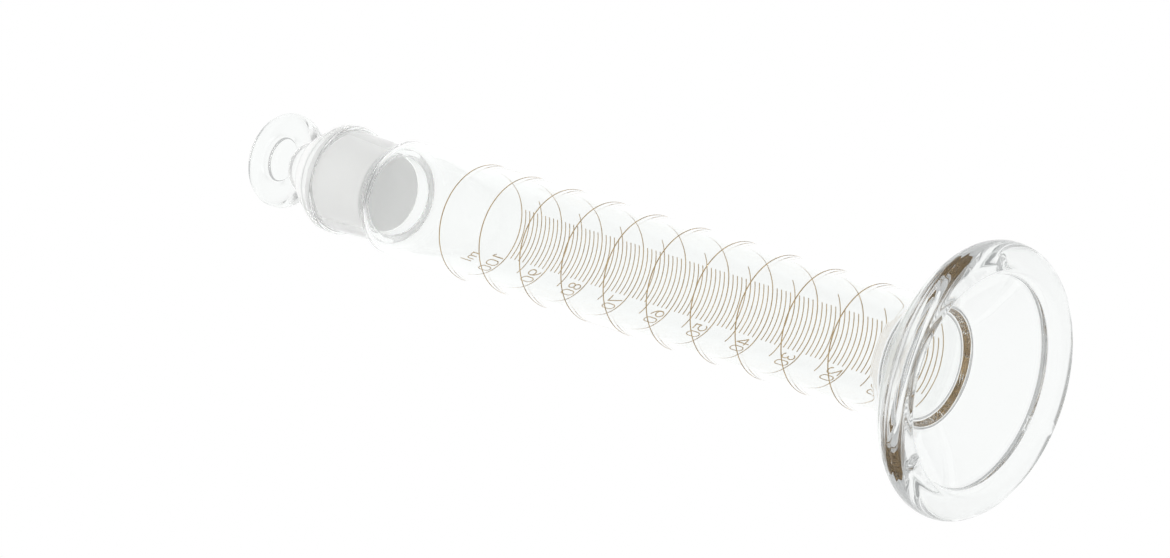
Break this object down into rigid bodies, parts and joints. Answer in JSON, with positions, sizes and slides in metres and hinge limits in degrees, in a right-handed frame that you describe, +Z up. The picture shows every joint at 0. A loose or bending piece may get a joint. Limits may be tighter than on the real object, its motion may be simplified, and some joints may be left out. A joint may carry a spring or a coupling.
{
  "type": "stoppered measuring cylinder",
  "caption": "Clear glass measuring cylinder on a round pressed foot, with amber ring graduations, a ground taper neck and a loose ground stopper with an upright penny head.",
  "frame": {"origin": "middle of the circle that the foot's pips stand on", "axes": "+Z up along the tube's axis, towards the stopper; the scale faces -Y and its numerals stand on its +X side"},
  "size_m": [0.069, 0.069, 0.2669],
  "materials": {
    "clear_glass": "polished, drawn borosilicate tube",
    "pressed_glass": "fire-polished pressed glass",
    "ground_glass": "finely ground, milky",
    "amber_stain": "fired amber diffusion stain"
  },
  "bodies": {
    "cylinder": {"foot": "pressed_glass", "foot_pips": "pressed_glass", "barrel": "clear_glass", "shoulder": "clear_glass", "ground_socket": "clear_glass", "graduation_rings": "amber_stain", "graduation_lines": "amber_stain", "scale_numerals": "amber_stain"},
    "stopper": {"stopper_plug": "ground_glass", "stopper_head": "pressed_glass"}
  },
  "joints": [
    {"name": "stopper_lift", "type": "slide", "parent": "cylinder", "child": "stopper", "axis": [0, 0, 1], "range_m": [0, 0.05]}
  ]
}
